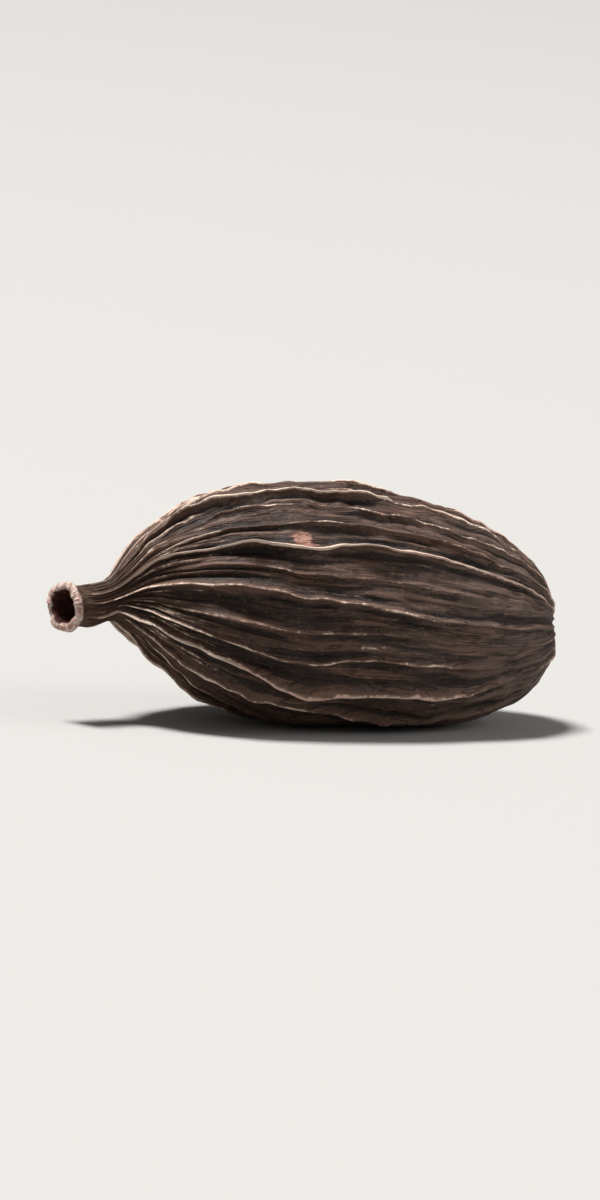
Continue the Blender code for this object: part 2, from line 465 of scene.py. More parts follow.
@dataclass
class Husk:
    """The dried husk: a bridged tube, drawn out to the pod's form and wrinkled all over.

    The columns of its mesh follow the pleats' crests, so that each crest is one clean line.
    """

    form: PodForm = field(default_factory=PodForm)
    rows: int = 264
    columns_per_pleat: int = 15
    crest_crowding: float = 0.5
    crest_wander: float = 0.13 * MM
    crest_break: float = 0.26
    crest_lean: float = 0.32
    crest_droop: float = 0.36
    trench_depth: float = 0.17
    line_width: float = 0.075 * MM
    full_line: float = 0.44 * MM
    rib_height: float = 0.15 * MM
    rib_width: float = 0.115 * MM
    rib_stray: float = 0.07
    rib_gap: float = 0.16
    rib_line: float = 0.40
    rib_presence: float = 0.45
    neck_ribs: tuple[float, float] = (9.0 * MM, 5.0 * MM)
    neck_rise: float = 1.1
    strand_height: float = 0.056 * MM
    pucker_height: float = 0.060 * MM
    broad_strand: Sizes = (4.5 * MM, 0.55 * MM, 0.55 * MM)
    slim_strand: Sizes = (2.6 * MM, 0.30 * MM, 0.30 * MM)
    pucker: Sizes = (0.55 * MM, 1.3 * MM, 1.3 * MM)
    pucker_spot: Sizes = (2.4 * MM, 2.4 * MM, 2.4 * MM)
    dent: Sizes = (1.1 * MM, 1.1 * MM, 1.1 * MM)
    tear_height: float = 0.045 * MM
    tear_width: float = 0.04
    rim_wall: float = 0.9 * MM
    scar_wall: float = 0.5 * MM
    stain_edge: Drift = Drift(1, 23, 620)
    hole_edge: tuple[float, float] = (0.76, 0.13)
    lip_edge: tuple[float, float] = (0.42 * MM, 0.3 * MM)
    pit_edge: tuple[float, float] = (0.80, 0.14)
    ring_edge: tuple[float, float] = (1.14, 0.16)
    ring_inside: float = 0.68
    shadow_reach: float = 0.45 * MM
    shadow_depth: float = 0.14 * MM
    scar_edge: float = 1.06
    wear_change: float = 0.46
    wear_shares: tuple[tuple[int, float], ...] = ((142, 1.80), (169, 0.78), (195, 0.80), (225, 0.80))
    most_worn: float = 1.12
    neck_line: float = 0.3
    wear_drift: Drift = Drift(10, 37, 18935)
    lean_drift: Drift = Drift(6, 24, 300)
    crest_path: tuple[Drift, Drift] = (Drift(9, 30, 100), Drift(26, 30, 101))
    crest_breaks: tuple[Drift, Drift] = (Drift(12, 31, 200), Drift(56, 31, 201))
    ribs: tuple[tuple[float, Drift, Drift], ...] = (
        (0.34, Drift(7, 24, 400), Drift(9, 25, 401)),
        (0.52, Drift(7, 24, 410), Drift(9, 25, 411)),
        (0.68, Drift(7, 24, 420), Drift(9, 25, 421)),
    )
    patches: tuple[tuple[float, float, float], ...] = (
        (10.9 * MM, 137, 0.58 * MM),
        (15.2 * MM, 118, 0.26 * MM),
        (17.5 * MM, 56, 0.36 * MM),
    )

    def tube(self) -> bpy.types.Object:
        """Bridges two circles into a closed tube, one unit long and two across.

        Returns:
            The tube.
        """
        columns = self.columns_per_pleat * len(self.form.pleats)
        facing = (0, math.pi / 2, 0)
        bpy.ops.object.select_all(action="DESELECT")
        bpy.ops.mesh.primitive_circle_add(vertices=columns, radius=1, location=(0, 0, 0), rotation=facing)
        husk = bpy.context.active_object
        bpy.ops.object.transform_apply(location=True, rotation=True, scale=True)
        bpy.ops.object.mode_set(mode="EDIT")
        bpy.ops.mesh.primitive_circle_add(vertices=columns, radius=1, location=(1, 0, 0), rotation=facing)
        bpy.ops.mesh.select_all(action="SELECT")
        cuts = self.rows - 2
        bpy.ops.mesh.bridge_edge_loops(number_cuts=cuts, interpolation="LINEAR", profile_shape_factor=0)
        bpy.ops.mesh.select_all(action="SELECT")
        bpy.ops.mesh.fill_holes(sides=0)
        bpy.ops.mesh.select_all(action="DESELECT")
        bpy.ops.mesh.select_face_by_sides(number=4, type="GREATER")
        bpy.ops.mesh.poke()
        bpy.ops.object.mode_set(mode="OBJECT")
        husk.name = "husk"
        husk.data.name = "husk"
        return husk

    def row_places(self) -> tuple[Array, Array]:
        """Spreads the rows over the cup, the neck, the body and the scar, closer together at both ends.

        Returns:
            Distance of each row from the rim's face, and its radius.
        """
        form = self.form
        tip = form.tip_profile()
        base = form.base_profile()
        body = np.linspace(tip[-1, 0], form.length, 4000)[1:]
        radii = form.outline_radius(body)
        body = body[(radii > self.scar_edge * form.scar_radius) | (body < form.widest_at)]
        run = np.stack([body, form.outline_radius(body)], axis=-1)
        start = catmull_rom(np.concatenate([tip, run[150:151]]), 40)[:-41]
        end = catmull_rom(np.concatenate([run[-150:-149], run[-1:], base]), 40)[40:]
        outline = np.concatenate([start, run, end])
        path = np.concatenate([[0], np.cumsum(np.hypot(*np.diff(outline, axis=0).T))])
        lip_at = path[np.argmin(start[:, 0])]
        crowding = 1 + 1.8 * np.exp(-(((path - lip_at) / (1.4 * MM)) ** 2))
        crowding += 1.2 * np.exp(-(((path[-1] - 0.8 * MM - path) / (1.2 * MM)) ** 2))
        count = np.concatenate([[0], np.cumsum(0.5 * (crowding[1:] + crowding[:-1]) * np.diff(path))])
        stops = np.interp(np.linspace(0, count[-1], self.rows), count, path)
        return np.interp(stops, path, outline[:, 0]), np.interp(stops, path, outline[:, 1])

    def fold(self, distance: Array, foot: Array, half_gap: Array) -> Array:
        """Section of one pleat: a slim rounded crest on a wide low foot.

        Args:
            distance: Distance from the crest.
            foot: Half of the crest's width.
            half_gap: Distance from the crest to the valley beside it.

        Returns:
            Share of the crest's height.
        """
        near = distance / foot
        crest = 0.55 * np.exp(-((near / 0.34) ** 2)) + 0.45 * np.clip(1 - near, 0, 1) ** 1.5
        trench = self.trench_depth * np.exp(-(((near - 1.15) / 0.40) ** 2))
        return 0.66 * crest + 0.34 * np.clip(1 - distance / half_gap, 0, 1) ** 1.7 - trench

    def crest_lines(self, along: Array, radius: Array) -> tuple[Array, Array]:
        """Runs each pleat's crest along the pod, and lets it stray and break a little.

        Args:
            along: Distance of each row from the rim's face.
            radius: Radius of each row.

        Returns:
            Angle and height of each crest, by row and pleat.
        """
        form = self.form
        share = along / form.length
        crests = []
        heights = []
        for pleat in form.pleats:
            home = np.full_like(share, pleat.angle)
            stray = self.crest_path[0].at(share, home) + 0.5 * self.crest_path[1].at(share, home)
            broken = self.crest_breaks[0].at(share, home) + 0.45 * self.crest_breaks[1].at(share, home)
            shift = self.crest_wander * stray / np.maximum(radius, 2 * MM)
            crests.append(form.crest_angle(pleat, along) + shift)
            heights.append(form.crest_height(pleat, along, radius) * (1 + self.crest_break * broken))
        return np.stack(crests, axis=-1), np.stack(heights, axis=-1)

    def wear(self, share: Array, radius: Array, height: Array) -> Array:
        """How far each crest is rubbed: most where it is high, and near the slim neck also where it is low.

        Args:
            share: Share of the pod's length, for each row.
            radius: Radius of each row.
            height: Height of each crest, by row and pleat.

        Returns:
            The wear, in the same order as the heights.
        """
        form = self.form
        home = np.array([pleat.angle for pleat in form.pleats])[:, None] + 0 * height
        worn = 1 + self.wear_change * self.wear_drift.at(share[:, None, None] + 0 * home, home)
        shares = dict(self.wear_shares)
        shares = np.array([shares.get(degrees, 1) for degrees, _ in form.pleat_crests])[:, None]
        full_line = self.full_line * np.clip(radius / form.body_radius, self.neck_line, 1)[:, None, None]
        return shares * np.clip(worn * height / full_line, 0, self.most_worn)

    def worn_line(self, distance: Array, worn: Array, height: Array, foot: Array) -> Array:
        """How strongly a crest's rubbed line shows. It is slim where crests crowd, and on a high crest.

        Args:
            distance: Distance from the crest.
            worn: Wear of the crest.
            height: Height of the crest.
            foot: Half of the crest's width.

        Returns:
            The strength at each distance.
        """
        slim = np.minimum(self.full_line / np.maximum(height, 0.1 * MM), 1) ** 0.6
        width = self.line_width * (foot / self.form.pleat_foot) ** 0.4 * slim
        return worn * np.exp(-((distance / width) ** 2))

    def relief(self, along: Array, radius: Array) -> tuple[Array, Array, Array, Array]:
        """Pleats and the ribs between them.

        Args:
            along: Distance of each row from the rim's face.
            radius: Radius of each row.

        Returns:
            Angle of each vertex, the height of the relief there, the angle by which it leans over, and how
            strongly a rubbed line shows there.
        """
        form = self.form
        before, heights = self.crest_lines(along, radius)
        after = np.roll(before, -1, axis=-1)
        after[:, -1] += TURN
        before = before[..., None]
        gap = after[..., None] - before
        steps = np.arange(self.columns_per_pleat) / self.columns_per_pleat
        spread = steps - self.crest_crowding * np.sin(TURN * steps) / TURN
        angles = before + gap * spread
        reach = np.maximum(radius, 0.1 * MM)[:, None, None]
        half_gap = 0.5 * gap * reach
        foot = np.minimum(form.pleat_foot, 0.6 * half_gap)
        own_height = heights[..., None]
        next_height = np.roll(own_height, -1, axis=1)
        own_distance = (angles - before) * reach
        next_distance = (after[..., None] - angles) * reach
        own = self.fold(own_distance, foot, half_gap)
        following = self.fold(next_distance, foot, half_gap)
        height = own_height * own + next_height * following

        # The rubbed line on each crest
        worn = self.wear(along / form.length, radius, own_height)
        line = self.worn_line(own_distance, worn, own_height, foot)
        line += self.worn_line(next_distance, np.roll(worn, -1, axis=1), next_height, foot)

        # Crests lean over unevenly, and those on the pod's two sides droop
        share = (along / form.length)[:, None, None] + 0 * angles
        home = before + 0 * angles
        lean_own = self.crest_lean * self.lean_drift.at(share, home) - self.crest_droop * np.cos(before)
        lean_next = np.roll(lean_own, -1, axis=1)
        lean = (lean_own * own_height * own**2 + lean_next * next_height * following**2) / reach

        # Ribs come and go between the crests, and stand closer and higher near the neck
        slender = smooth(radius / (0.55 * form.body_radius))[:, None, None]
        near_neck = within(along, self.neck_ribs)[:, None, None]
        width = np.minimum(self.rib_width, self.rib_gap * half_gap)
        for place, stray, strength in self.ribs:
            present = strength.at(share, home) + self.rib_presence + 0.5 * near_neck
            present = np.clip(present, 0, 1) * (1 + self.neck_rise * near_neck)
            distance = np.abs(spread - (place + self.rib_stray * stray.at(share, home))) * gap * reach
            rib = slender * present * np.exp(-((distance / width) ** 2))
            height = height + self.rib_height * rib
            line = line + self.rib_line * rib
        shape = (len(along), -1)
        return angles.reshape(shape), height.reshape(shape), lean.reshape(shape), line.reshape(shape)

    def fibre_places(self, along: Array, angles: Array) -> Array:
        """Draws the husk out to a straight tube, so that patterns follow its fibres.

        Args:
            along: Distance of each row from the rim's face.
            angles: Angle of each vertex.

        Returns:
            The place of each vertex on that tube.
        """
        across = self.form.body_radius * np.cos(angles)
        upwards = self.form.body_radius * np.sin(angles)
        return np.stack([along[:, None] + 0 * angles, across, upwards], axis=-1)

    def fine_relief(self, radius: Array, plain: Array, fibre: Array) -> tuple[Array, Array]:
        """Strands along the husk, and the puckers and dents across it.

        Args:
            radius: Radius of each row.
            plain: Points of the plain husk.
            fibre: The same points on the husk drawn out straight.

        Returns:
            The height of the strands and that of the lumps, at each vertex.
        """
        slender = smooth(radius / (0.5 * self.form.body_radius))[:, None]
        strands = 1.2 * crumpled(fibre, self.broad_strand, 1) + 1.2 * crumpled(fibre, self.slim_strand, 2)
        spots = smooth(0.6 + crumpled(plain, self.pucker_spot, 4))
        lumps = crumpled(fibre, self.pucker, 3) * spots + crumpled(plain, self.dent, 5)
        return slender * (self.strand_height * strands), slender * self.pucker_height * lumps

    def tear_ends(self, points: Array, along: Array, radius: Array, angles: Array) -> Array:
        """Makes the rim and the scar uneven, and carries the torn edge a little way down their sides.

        Args:
            points: Points of the husk.
            along: Distance of each row from the rim's face.
            radius: Radius of each row.
            angles: Angle of each vertex.

        Returns:
            The moved points.
        """
        form = self.form
        middle, sideways = form.axis_frame(along)
        axis = np.stack([sideways[:, 1], -sideways[:, 0], sideways[:, 2]], axis=-1)
        narrow = radius < 1.3 * form.rim_radius
        level = 0 * angles
        for edge, wall, seed in ((0.0, self.rim_wall, 600), (form.length, self.scar_wall, 610)):
            share = np.where(narrow, smooth(1 - np.abs(along - edge) / wall), 0)[:, None]
            widening = 1 + form.ragged_radius * share * form.ragged(angles)
            shift = form.ragged_length * share * form.ragged(angles)
            torn = Drift(1, 34, seed).at(level, angles) + 0.8 * Drift(1, 71, seed + 1).at(level, angles)
            lip = share**2
            shift = shift + self.tear_height * lip * torn
            widening = widening + self.tear_width * lip * Drift(1, 19, seed + 2).at(level, angles)
            points = middle[:, None] + (points - middle[:, None]) * widening[..., None]
            points = points + shift[..., None] * axis[:, None]
        return points

    def normals(self, points: Array) -> Array:
        """Unit normals of rows that close on themselves, pointing out of the pod.

        Args:
            points: Points by row and column.

        Returns:
            The normals, in the same order.
        """
        round_it = np.roll(points, -1, axis=1) - np.roll(points, 1, axis=1)
        along_it = np.gradient(points, axis=0)
        normals = np.cross(round_it, along_it)
        return normals / np.linalg.norm(normals, axis=-1, keepdims=True)

    def blurred(self, values: Array, across: Array) -> Array:
        """Mean of the values over a stretch round the pod.

        Args:
            values: Values by row and column.
            across: Length of half the stretch in columns, for each row.

        Returns:
            The mean at each vertex.
        """
        total = np.cumsum(np.concatenate([values, values, values], axis=1), axis=1)
        columns = values.shape[1]
        reach = np.maximum(np.round(across).astype(int), 1)
        start = np.arange(columns)[None, :] + columns - reach[:, None]
        stop = np.arange(columns)[None, :] + columns + reach[:, None]
        row = np.arange(len(values))[:, None]
        return (total[row, stop] - total[row, start]) / (stop - start)

    def end_marks(self, along: Array, radius: Array, angles: Array, on_scar: Array) -> dict[Mark, Array]:
        """Marks of the two ends: the cut rim round its hole, the pale neck, and the scar round its pit.

        Args:
            along: Distance of each row from the rim's face.
            radius: Radius of each row.
            angles: Angle of each vertex.
            on_scar: Whether each row is on the scar.

        Returns:
            The marks, each between 0 and 1.
        """
        form = self.form
        row = np.arange(self.rows)
        at_base = row > self.rows // 2
        lip_row = int(np.argmin(along[: self.rows // 4]))
        torn = 1 + 0.07 * self.stain_edge.at(0 * angles, angles)
        reach = radius[:, None] * torn / form.rim_radius
        cup = np.where((row < lip_row)[:, None], within(reach, self.hole_edge), 0)
        lip = np.where((along < 0.5 * MM)[:, None], within(along[:, None] * torn, self.lip_edge), 0)
        reach = radius[:, None] * torn / form.scar_radius
        pit = np.where(on_scar[:, None], within(reach, self.pit_edge), 0)
        ring = within(reach, self.ring_edge) * smooth((reach - self.ring_inside) / 0.14)
        scar_lip = np.where(at_base[:, None], ring, 0)
        is_inside = (row < lip_row) | (row > self.rows - 4)
        neck = np.exp(-((np.maximum(along - 1.2 * MM, 0) / (3.2 * MM)) ** 1.2))
        return {
            Mark.LIP: np.maximum(lip, 0.75 * scar_lip),
            Mark.HOLE: np.maximum(cup, pit),
            Mark.NECK: np.where(is_inside, 0, neck)[:, None] + 0 * angles,
        }

    def patch_mark(self, along: Array, radius: Array, angles: Array) -> Array:
        """Mark of the spots that are rubbed raw.

        Args:
            along: Distance of each row from the rim's face.
            radius: Radius of each row.
            angles: Angle of each vertex.

        Returns:
            The mark, 1 in the middle of a spot.
        """
        patch = np.zeros_like(angles)
        for place, degrees, size in self.patches:
            turned = np.mod(angles - math.radians(degrees) + math.pi, TURN) - math.pi
            off = np.hypot(0.8 * (along[:, None] - place), turned * radius[:, None])
            patch += np.exp(-((off / size) ** 2))
        return patch

    def sculpt(self) -> tuple[Array, dict[Mark, Array]]:
        """Works out the place of each vertex, and what its finish needs to know.

        Returns:
            The points by row and column, and the marks by name, in the same order.
        """
        form = self.form
        along, radius = self.row_places()
        angles, height, lean, line = self.relief(along, radius)
        plain = form.surface(along, radius, angles)
        kept = form.calm(plain)
        lip_row = int(np.argmin(along[: self.rows // 4]))
        row = np.arange(self.rows)
        is_body = (along > 0.85 * MM) & (row > lip_row) & (row < self.rows - 5)
        on_scar = (row > self.rows // 2) & (radius < self.scar_edge * form.scar_radius)
        outside = np.where(is_body & ~on_scar, smooth((along - 0.6 * MM) / (1.2 * MM)), 0)[:, None]
        fibre = self.fibre_places(along, angles)
        strands, lumps = self.fine_relief(radius, plain, fibre)
        height = (height + strands) * kept * outside
        lumps = lumps * kept * outside
        bulges = form.bulge_relief(plain) * kept * outside
        leaning = form.surface(along, radius, angles + lean * kept * outside)
        points = leaning + (height + lumps + bulges)[..., None] * self.normals(plain)
        points = self.tear_ends(points, along, radius, angles)
        points[..., 2] = np.maximum(points[..., 2], 0)

        # How far each place stands above the husk beside it; the finish paints shade where it is low, and a
        # highlight where it is high
        columns = angles.shape[1]
        across = self.shadow_reach / (TURN * radius / columns)
        proud = (height - self.blurred(height, np.minimum(across, columns // 30))) / self.shadow_depth
        marks = {Mark.PROUD: proud, Mark.CREST: line * kept * outside}
        marks.update(self.end_marks(along, radius, angles, on_scar))
        marks[Mark.PATCH] = self.patch_mark(along, radius, angles)
        marks[Mark.FIBRE] = fibre
        return points, marks

    def lay_out(self, husk: bpy.types.Object, points: Array, marks: dict[Mark, Array]) -> None:
        """Moves the tube's vertices to their places, and writes the marks on them.

        Args:
            husk: The tube.
            points: Points by row and column.
            marks: Marks by name, in the same order.
        """
        mesh = husk.data
        count = len(mesh.vertices)
        tube = np.empty(3 * count)
        mesh.vertices.foreach_get("co", tube)
        tube = tube.reshape(-1, 3)
        columns = points.shape[1]
        row = np.clip(np.round(tube[:, 0] * (self.rows - 1)).astype(int), 0, self.rows - 1)
        column = np.mod(np.round(np.arctan2(tube[:, 2], tube[:, 1]) / TURN * columns).astype(int), columns)
        is_middle = np.hypot(tube[:, 1], tube[:, 2]) < 0.5
        places = np.where(is_middle[:, None], points[row].mean(axis=1), points[row, column])
        mesh.vertices.foreach_set("co", places.ravel())
        for mark, values in marks.items():
            kind = "FLOAT_VECTOR" if mark is Mark.FIBRE else "FLOAT"
            slot = "vector" if mark is Mark.FIBRE else "value"
            written = mesh.attributes.new(mark.value, kind, "POINT")
            written.data.foreach_set(slot, values[row, column].astype(np.float32).ravel())
        mesh.update()

    def build(self) -> bpy.types.Object:
        """Models the husk.

        Returns:
            The finished object, at the origin.
        """
        husk = self.tube()
        points, marks = self.sculpt()
        self.lay_out(husk, points, marks)
        bpy.ops.object.mode_set(mode="EDIT")
        bpy.ops.mesh.select_all(action="SELECT")
        bpy.ops.mesh.normals_make_consistent(inside=False)
        bpy.ops.object.mode_set(mode="OBJECT")
        bpy.ops.object.shade_smooth()
        husk.data.materials.clear()
        husk.data.materials.append(HuskFinish().build())
        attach(husk, BODY)
        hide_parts(NODE)
        return husk


def linear(colour: str) -> tuple[float, float, float, float]:
    """Turns an sRGB hex colour to linear.

    Args:
        colour: Six hex digits after a hash sign.

    Returns:
        Red, green, blue and an alpha of 1.
    """
    shares = [int(colour[start : start + 2], 16) / 255 for start in (1, 3, 5)]
    curved = [((share + 0.055) / 1.055) ** 2.4 for share in shares]
    red, green, blue = [low / 12.92 if low <= 0.04045 else high for low, high in zip(shares, curved)]
    return red, green, blue, 1.0


@dataclass(frozen=True)
class Coat:
    """A colour laid over the husk where a value passes through a span.

    Attributes:
        colour: Its sRGB colour, left out where it is a mix of two.
        start: The value at which it starts.
        full: The value at which it is full.
        cover: How much of what lies below it then hides.
    """

    colour: str = "#000000"
    start: float = 0.0
    full: float = 1.0
    cover: float = 1.0


@dataclass
class HuskFinish:
    """Dried and smoked fruit husk: matt, dark brown and fibrous, rubbed pale along its pleats.

    The hollows are painted nearly black and the creases dark as shade, the raised places paler as wear and
    painted highlight, and the base end paler as painted light. Handling wears the crests to bare tan fibre,
    and the cut at the tip shows the pale pith inside. Each grain has a length along the fibres, a width
    across them and a number of finer layers. One that is as long as it is wide has no direction.
    """

    shade: str = "#36251e"
    body: Coat = Coat("#48342b", 0.36, 0.64)
    warm: Coat = Coat("#593d30", 0.48, 0.72)
    light_strands: Coat = Coat("#705647", 0.52, 0.74, 0.60)
    dark_strands: Coat = Coat("#241813", 0.46, 0.28, 0.75)
    # Painted light: the husk is painted paler towards its base end, as if lit there from the side
    painted_base_light: Coat = Coat("#85746a", 25.0 * MM, 40.0 * MM, 0.26)
    painted_base_light_spread: float = 30.0 * MM
    light_pits: Coat = Coat("#705647", 0.50, 0.68, 0.32)
    # Painted shade: the fine creases are darkened as if shade falls in them
    creases: Coat = Coat("#241813", cover=0.66)
    # Painted shade: places lower than the husk beside them are painted nearly black
    painted_hollow_shade: Coat = Coat("#160e0b", -0.05, -0.75, 0.86)
    neck_shade: str = "#241813"
    neck_tan: Coat = Coat("#6e5340", 0.40, 0.60)
    neck: Coat = Coat(cover=0.78)
    # Partly wear, partly painted highlight: places higher than the husk beside them are painted paler
    raised_wear_and_highlight: Coat = Coat("#6d5445", 0.25, 1.3, 0.40)
    bead_strength: float = 1.5
    pit_strength: float = 1.1
    dull_line: Coat = Coat("#8c7262", 1.09, 1.61, 0.80)
    worn: str = "#cbb5a4"
    worn_pink: Coat = Coat("#c4a294", 0.50, 0.66)
    bare_line: Coat = Coat(start=1.90, full=2.20, cover=0.94)
    dust: Coat = Coat("#9d8b7c", 0.60, 0.72, 0.14)
    raw: str = "#8a5a4a"
    raw_light: Coat = Coat("#b98c7b", 0.76, 1.02)
    raw_speckle: float = 0.8
    scuff: Coat = Coat(start=1.40, full=1.76, cover=0.66)
    scuff_beads: float = 1.9
    pith_pink: str = "#a98372"
    pith: Coat = Coat("#dac2b7", 0.36, 0.60)
    cup: str = "#340f09"
    cup_light: Coat = Coat("#52281d", 0.42, 0.66)
    roughness: tuple[float, float] = (0.48, 0.80)
    ior: float = 1.4
    specular: float = 0.34
    grain_roughness: float = 0.58
    crease_width: float = 0.034
    crease_share: float = -0.9
    strand_depth: float = 0.045 * MM
    strand_strength: float = 0.9
    pit_depth: float = 0.022 * MM
    pit_bump: float = 0.8
    grains: tuple[tuple[Grain, float, float, float], ...] = (
        (Grain.MOTTLE, 7.0 * MM, 1.6 * MM, 5.0),
        (Grain.BLUSH, 5.0 * MM, 1.0 * MM, 3.0),
        (Grain.STRANDS, 3.4 * MM, 0.16 * MM, 4.0),
        (Grain.FIBRES, 1.3 * MM, 0.075 * MM, 3.0),
        (Grain.CREASES, 3.0 * MM, 0.34 * MM, 2.0),
        (Grain.BEADS, 0.95 * MM, 0.26 * MM, 4.0),
        (Grain.BREAKS, 1.6 * MM, 0.45 * MM, 4.0),
        (Grain.PITS, 0.22 * MM, 0.22 * MM, 3.0),
        (Grain.GRIT, 0.16 * MM, 0.16 * MM, 2.0),
    )

    tree: Nodes = field(init=False, repr=False)
    marks: Sockets = field(init=False, repr=False, default_factory=dict)
    drawn: Sockets = field(init=False, repr=False, default_factory=dict)

    def build(self) -> bpy.types.Material:
        """Makes the material.

        Returns:
            The material.
        """
        material = bpy.data.materials.new("dried_cardamom_husk")
        material.use_nodes = True
        self.tree = material.node_tree
        self.tree.nodes.clear()
        for mark in Mark:
            read = self.add_node("Attribute", attribute_name=mark.value)
            self.marks[mark] = read.outputs["Vector" if mark is Mark.FIBRE else "Fac"]
        self.draw_grains()
        colour = self.cut(self.rubbed(self.dried()))
        smoothest, roughest = self.roughness
        inputs = {"Value": self.drawn[Grain.BREAKS], "To Min": smoothest, "To Max": roughest}
        roughness = self.add_node("MapRange", inputs)
        inputs = {
            "Base Color": colour,
            "Roughness": roughness.outputs["Result"],
            "IOR": self.ior,
            "Specular IOR Level": self.specular,
            "Metallic": 0.0,
            "Normal": self.fine_relief(),
        }
        shader = self.add_node("BsdfPrincipled", inputs)
        self.add_node("OutputMaterial", {"Surface": shader.outputs[0]})
        return material

    def add_node(self, kind: str, inputs: dict | None = None, **settings: object) -> bpy.types.Node:
        """Adds a node with its settings and links.

        Args:
            kind: The node's type, without its ShaderNode.
            inputs: Values or output sockets, by the input's name or number.
            settings: Properties of the node.

        Returns:
            The node.
        """
        node = self.tree.nodes.new("ShaderNode" + kind)
        for name, value in settings.items():
            setattr(node, name, value)
        for name, value in (inputs or {}).items():
            if isinstance(value, Socket):
                self.tree.links.new(value, node.inputs[name])
            else:
                node.inputs[name].default_value = value
        return node

    def draw_grains(self) -> None:
        """Draws the grains at their real sizes, the long ones along the fibres, and creases as thin lines."""
        place = self.add_node("TexCoord").outputs["Object"]
        for grain, length, width, layers in self.grains:
            start = place if length == width else self.marks[Mark.FIBRE]
            scale = (1 / length, 1 / width, 1 / width)
            mapped = self.add_node("Mapping", {"Vector": start, "Scale": scale, "Rotation": SLANT_TURNS})
            inputs = {"Vector": mapped.outputs[0], "Scale": 1.0, "Detail": layers}
            inputs["Roughness"] = self.grain_roughness
            self.drawn[grain] = self.add_node("TexNoise", inputs).outputs["Fac"]
        centred = self.add_node("Math", {0: self.drawn[Grain.CREASES], 1: 0.5}, operation="SUBTRACT")
        apart = self.add_node("Math", {0: centred.outputs[0]}, operation="ABSOLUTE")
        inputs = {"Value": apart.outputs[0], "From Min": self.crease_width, "From Max": 0.0}
        crease = self.add_node("MapRange", inputs, interpolation_type="SMOOTHSTEP")
        self.drawn[Grain.CREASES] = crease.outputs["Result"]

    def layer(self, under: object, coat: Coat, where: Socket, mixed: Socket | None = None) -> Socket:
        """Lays a coat over a colour where a value passes through the coat's span.

        Args:
            under: The colour below, or its socket.
            coat: The coat.
            where: The value.
            mixed: The coat's colour, where it is a mix.

        Returns:
            The colour.
        """
        over = linear(coat.colour) if mixed is None else mixed
        inputs = {"Value": where, "From Min": coat.start, "From Max": coat.full, "To Max": coat.cover}
        cover = self.add_node("MapRange", inputs, interpolation_type="SMOOTHSTEP")
        inputs = {0: cover.outputs["Result"], 6: under, 7: over}
        return self.add_node("Mix", inputs, data_type="RGBA").outputs[2]

    def dried(self) -> Socket:
        """Colours the dried husk, mottled and streaked, with painted light at its base and painted shade in
        creases and hollows.

        Returns:
            The colour.
        """
        strands = self.drawn[Grain.STRANDS]
        colour = self.layer(linear(self.shade), self.body, self.drawn[Grain.MOTTLE])
        colour = self.layer(colour, self.warm, self.drawn[Grain.BLUSH])
        colour = self.layer(colour, self.light_strands, strands)
        colour = self.layer(colour, self.dark_strands, strands)
        # Painted light: paler towards the base end, with an uneven edge that follows the strands
        along = self.add_node("SeparateXYZ", {0: self.marks[Mark.FIBRE]}).outputs["X"]
        inputs = {0: strands, 1: self.painted_base_light_spread, 2: along}
        uneven = self.add_node("Math", inputs, operation="MULTIPLY_ADD").outputs[0]
        colour = self.layer(colour, self.painted_base_light, uneven)
        colour = self.layer(colour, self.light_pits, self.drawn[Grain.PITS])
        # Painted shade in the fine creases
        colour = self.layer(colour, self.creases, self.drawn[Grain.CREASES])
        # Painted shade in the hollows beside the crests and ribs
        colour = self.layer(colour, self.painted_hollow_shade, self.marks[Mark.PROUD])
        tan = self.layer(linear(self.neck_shade), self.neck_tan, strands)
        return self.layer(colour, self.neck, self.marks[Mark.NECK], tan)

    def rubbed(self, colour: Socket) -> Socket:
        """Wears the crests to dull tan with bright broken lines, dusts the husk, and rubs a few spots raw.

        Args:
            colour: Colour of the dried husk.

        Returns:
            The colour.
        """
        beads = self.drawn[Grain.BEADS]
        pits = self.drawn[Grain.PITS]
        # Places higher than the husk beside them are painted paler: partly wear, partly painted highlight
        colour = self.layer(colour, self.raised_wear_and_highlight, self.marks[Mark.PROUD])
        inputs = {0: beads, 1: self.bead_strength, 2: self.marks[Mark.CREST]}
        beaded = self.add_node("Math", inputs, operation="MULTIPLY_ADD").outputs[0]
        inputs = {0: pits, 1: self.pit_strength, 2: beaded}
        broken = self.add_node("Math", inputs, operation="MULTIPLY_ADD").outputs[0]
        bare = self.layer(linear(self.worn), self.worn_pink, self.drawn[Grain.BLUSH])
        colour = self.layer(colour, self.dull_line, beaded)
        colour = self.layer(colour, self.bare_line, broken, bare)
        colour = self.layer(colour, self.dust, self.drawn[Grain.GRIT])
        inputs = {0: pits, 1: self.raw_speckle, 2: self.drawn[Grain.STRANDS]}
        speckled = self.add_node("Math", inputs, operation="MULTIPLY_ADD").outputs[0]
        raw = self.layer(linear(self.raw), self.raw_light, speckled)
        inputs = {0: beads, 1: self.scuff_beads, 2: self.marks[Mark.PATCH]}
        scuffed = self.add_node("Math", inputs, operation="MULTIPLY_ADD").outputs[0]
        return self.layer(colour, self.scuff, scuffed, raw)

    def cut(self, colour: Socket) -> Socket:
        """Colours the two ends: pale pith on the cut rim and the scar, dark red in the hole and the pit.

        Args:
            colour: Colour of the husk.

        Returns:
            The colour.
        """
        pits = self.drawn[Grain.PITS]
        pith = self.layer(linear(self.pith_pink), self.pith, pits)
        colour = self.layer(colour, Coat(), self.marks[Mark.LIP], pith)
        hole = self.layer(linear(self.cup), self.cup_light, pits)
        return self.layer(colour, Coat(), self.marks[Mark.HOLE], hole)

